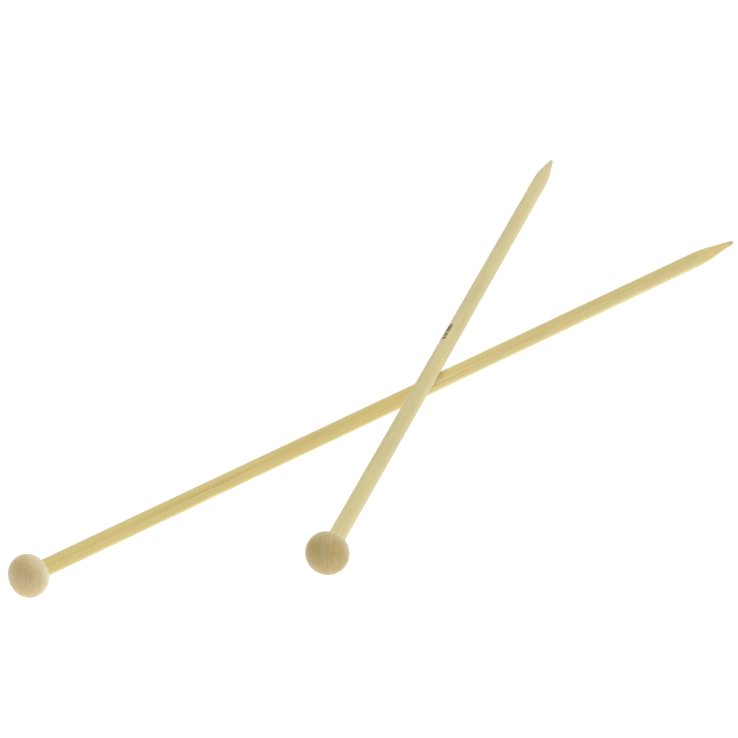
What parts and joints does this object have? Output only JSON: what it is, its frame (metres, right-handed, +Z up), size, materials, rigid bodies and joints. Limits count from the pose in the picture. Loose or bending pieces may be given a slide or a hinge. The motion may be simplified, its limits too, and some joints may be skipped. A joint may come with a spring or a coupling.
{
  "type": "straight knitting needles",
  "caption": "Straight single-pointed bamboo knitting needles with turned wooden end knobs, lying crossed, for knitting flat fabric by hand.",
  "frame": {"origin": "middle of the footprint of the two needles as they lie crossed, on the table under them", "axes": "+X along the lower needle as seen from above, from its knob to its point; +Z up, away from the table"},
  "size_m": [0.344, 0.1622, 0.0217],
  "materials": {
    "golden_bamboo": "satin",
    "pale_bamboo": "satin",
    "knob_wood": "satin",
    "glue": "matte",
    "printed_ink": "matte"
  },
  "bodies": {
    "lower_needle": {"lower_shaft": "golden_bamboo", "lower_knob": "knob_wood", "lower_glue": "glue"},
    "upper_needle": {"upper_shaft": "pale_bamboo", "upper_knob": "knob_wood", "upper_glue": "glue"}
  },
  "joints": [
    {"name": "upper_needle_lift", "type": "slide", "parent": "lower_needle", "child": "upper_needle", "axis": [0, 0, 1], "range_m": [0, 0.04]}
  ]
}
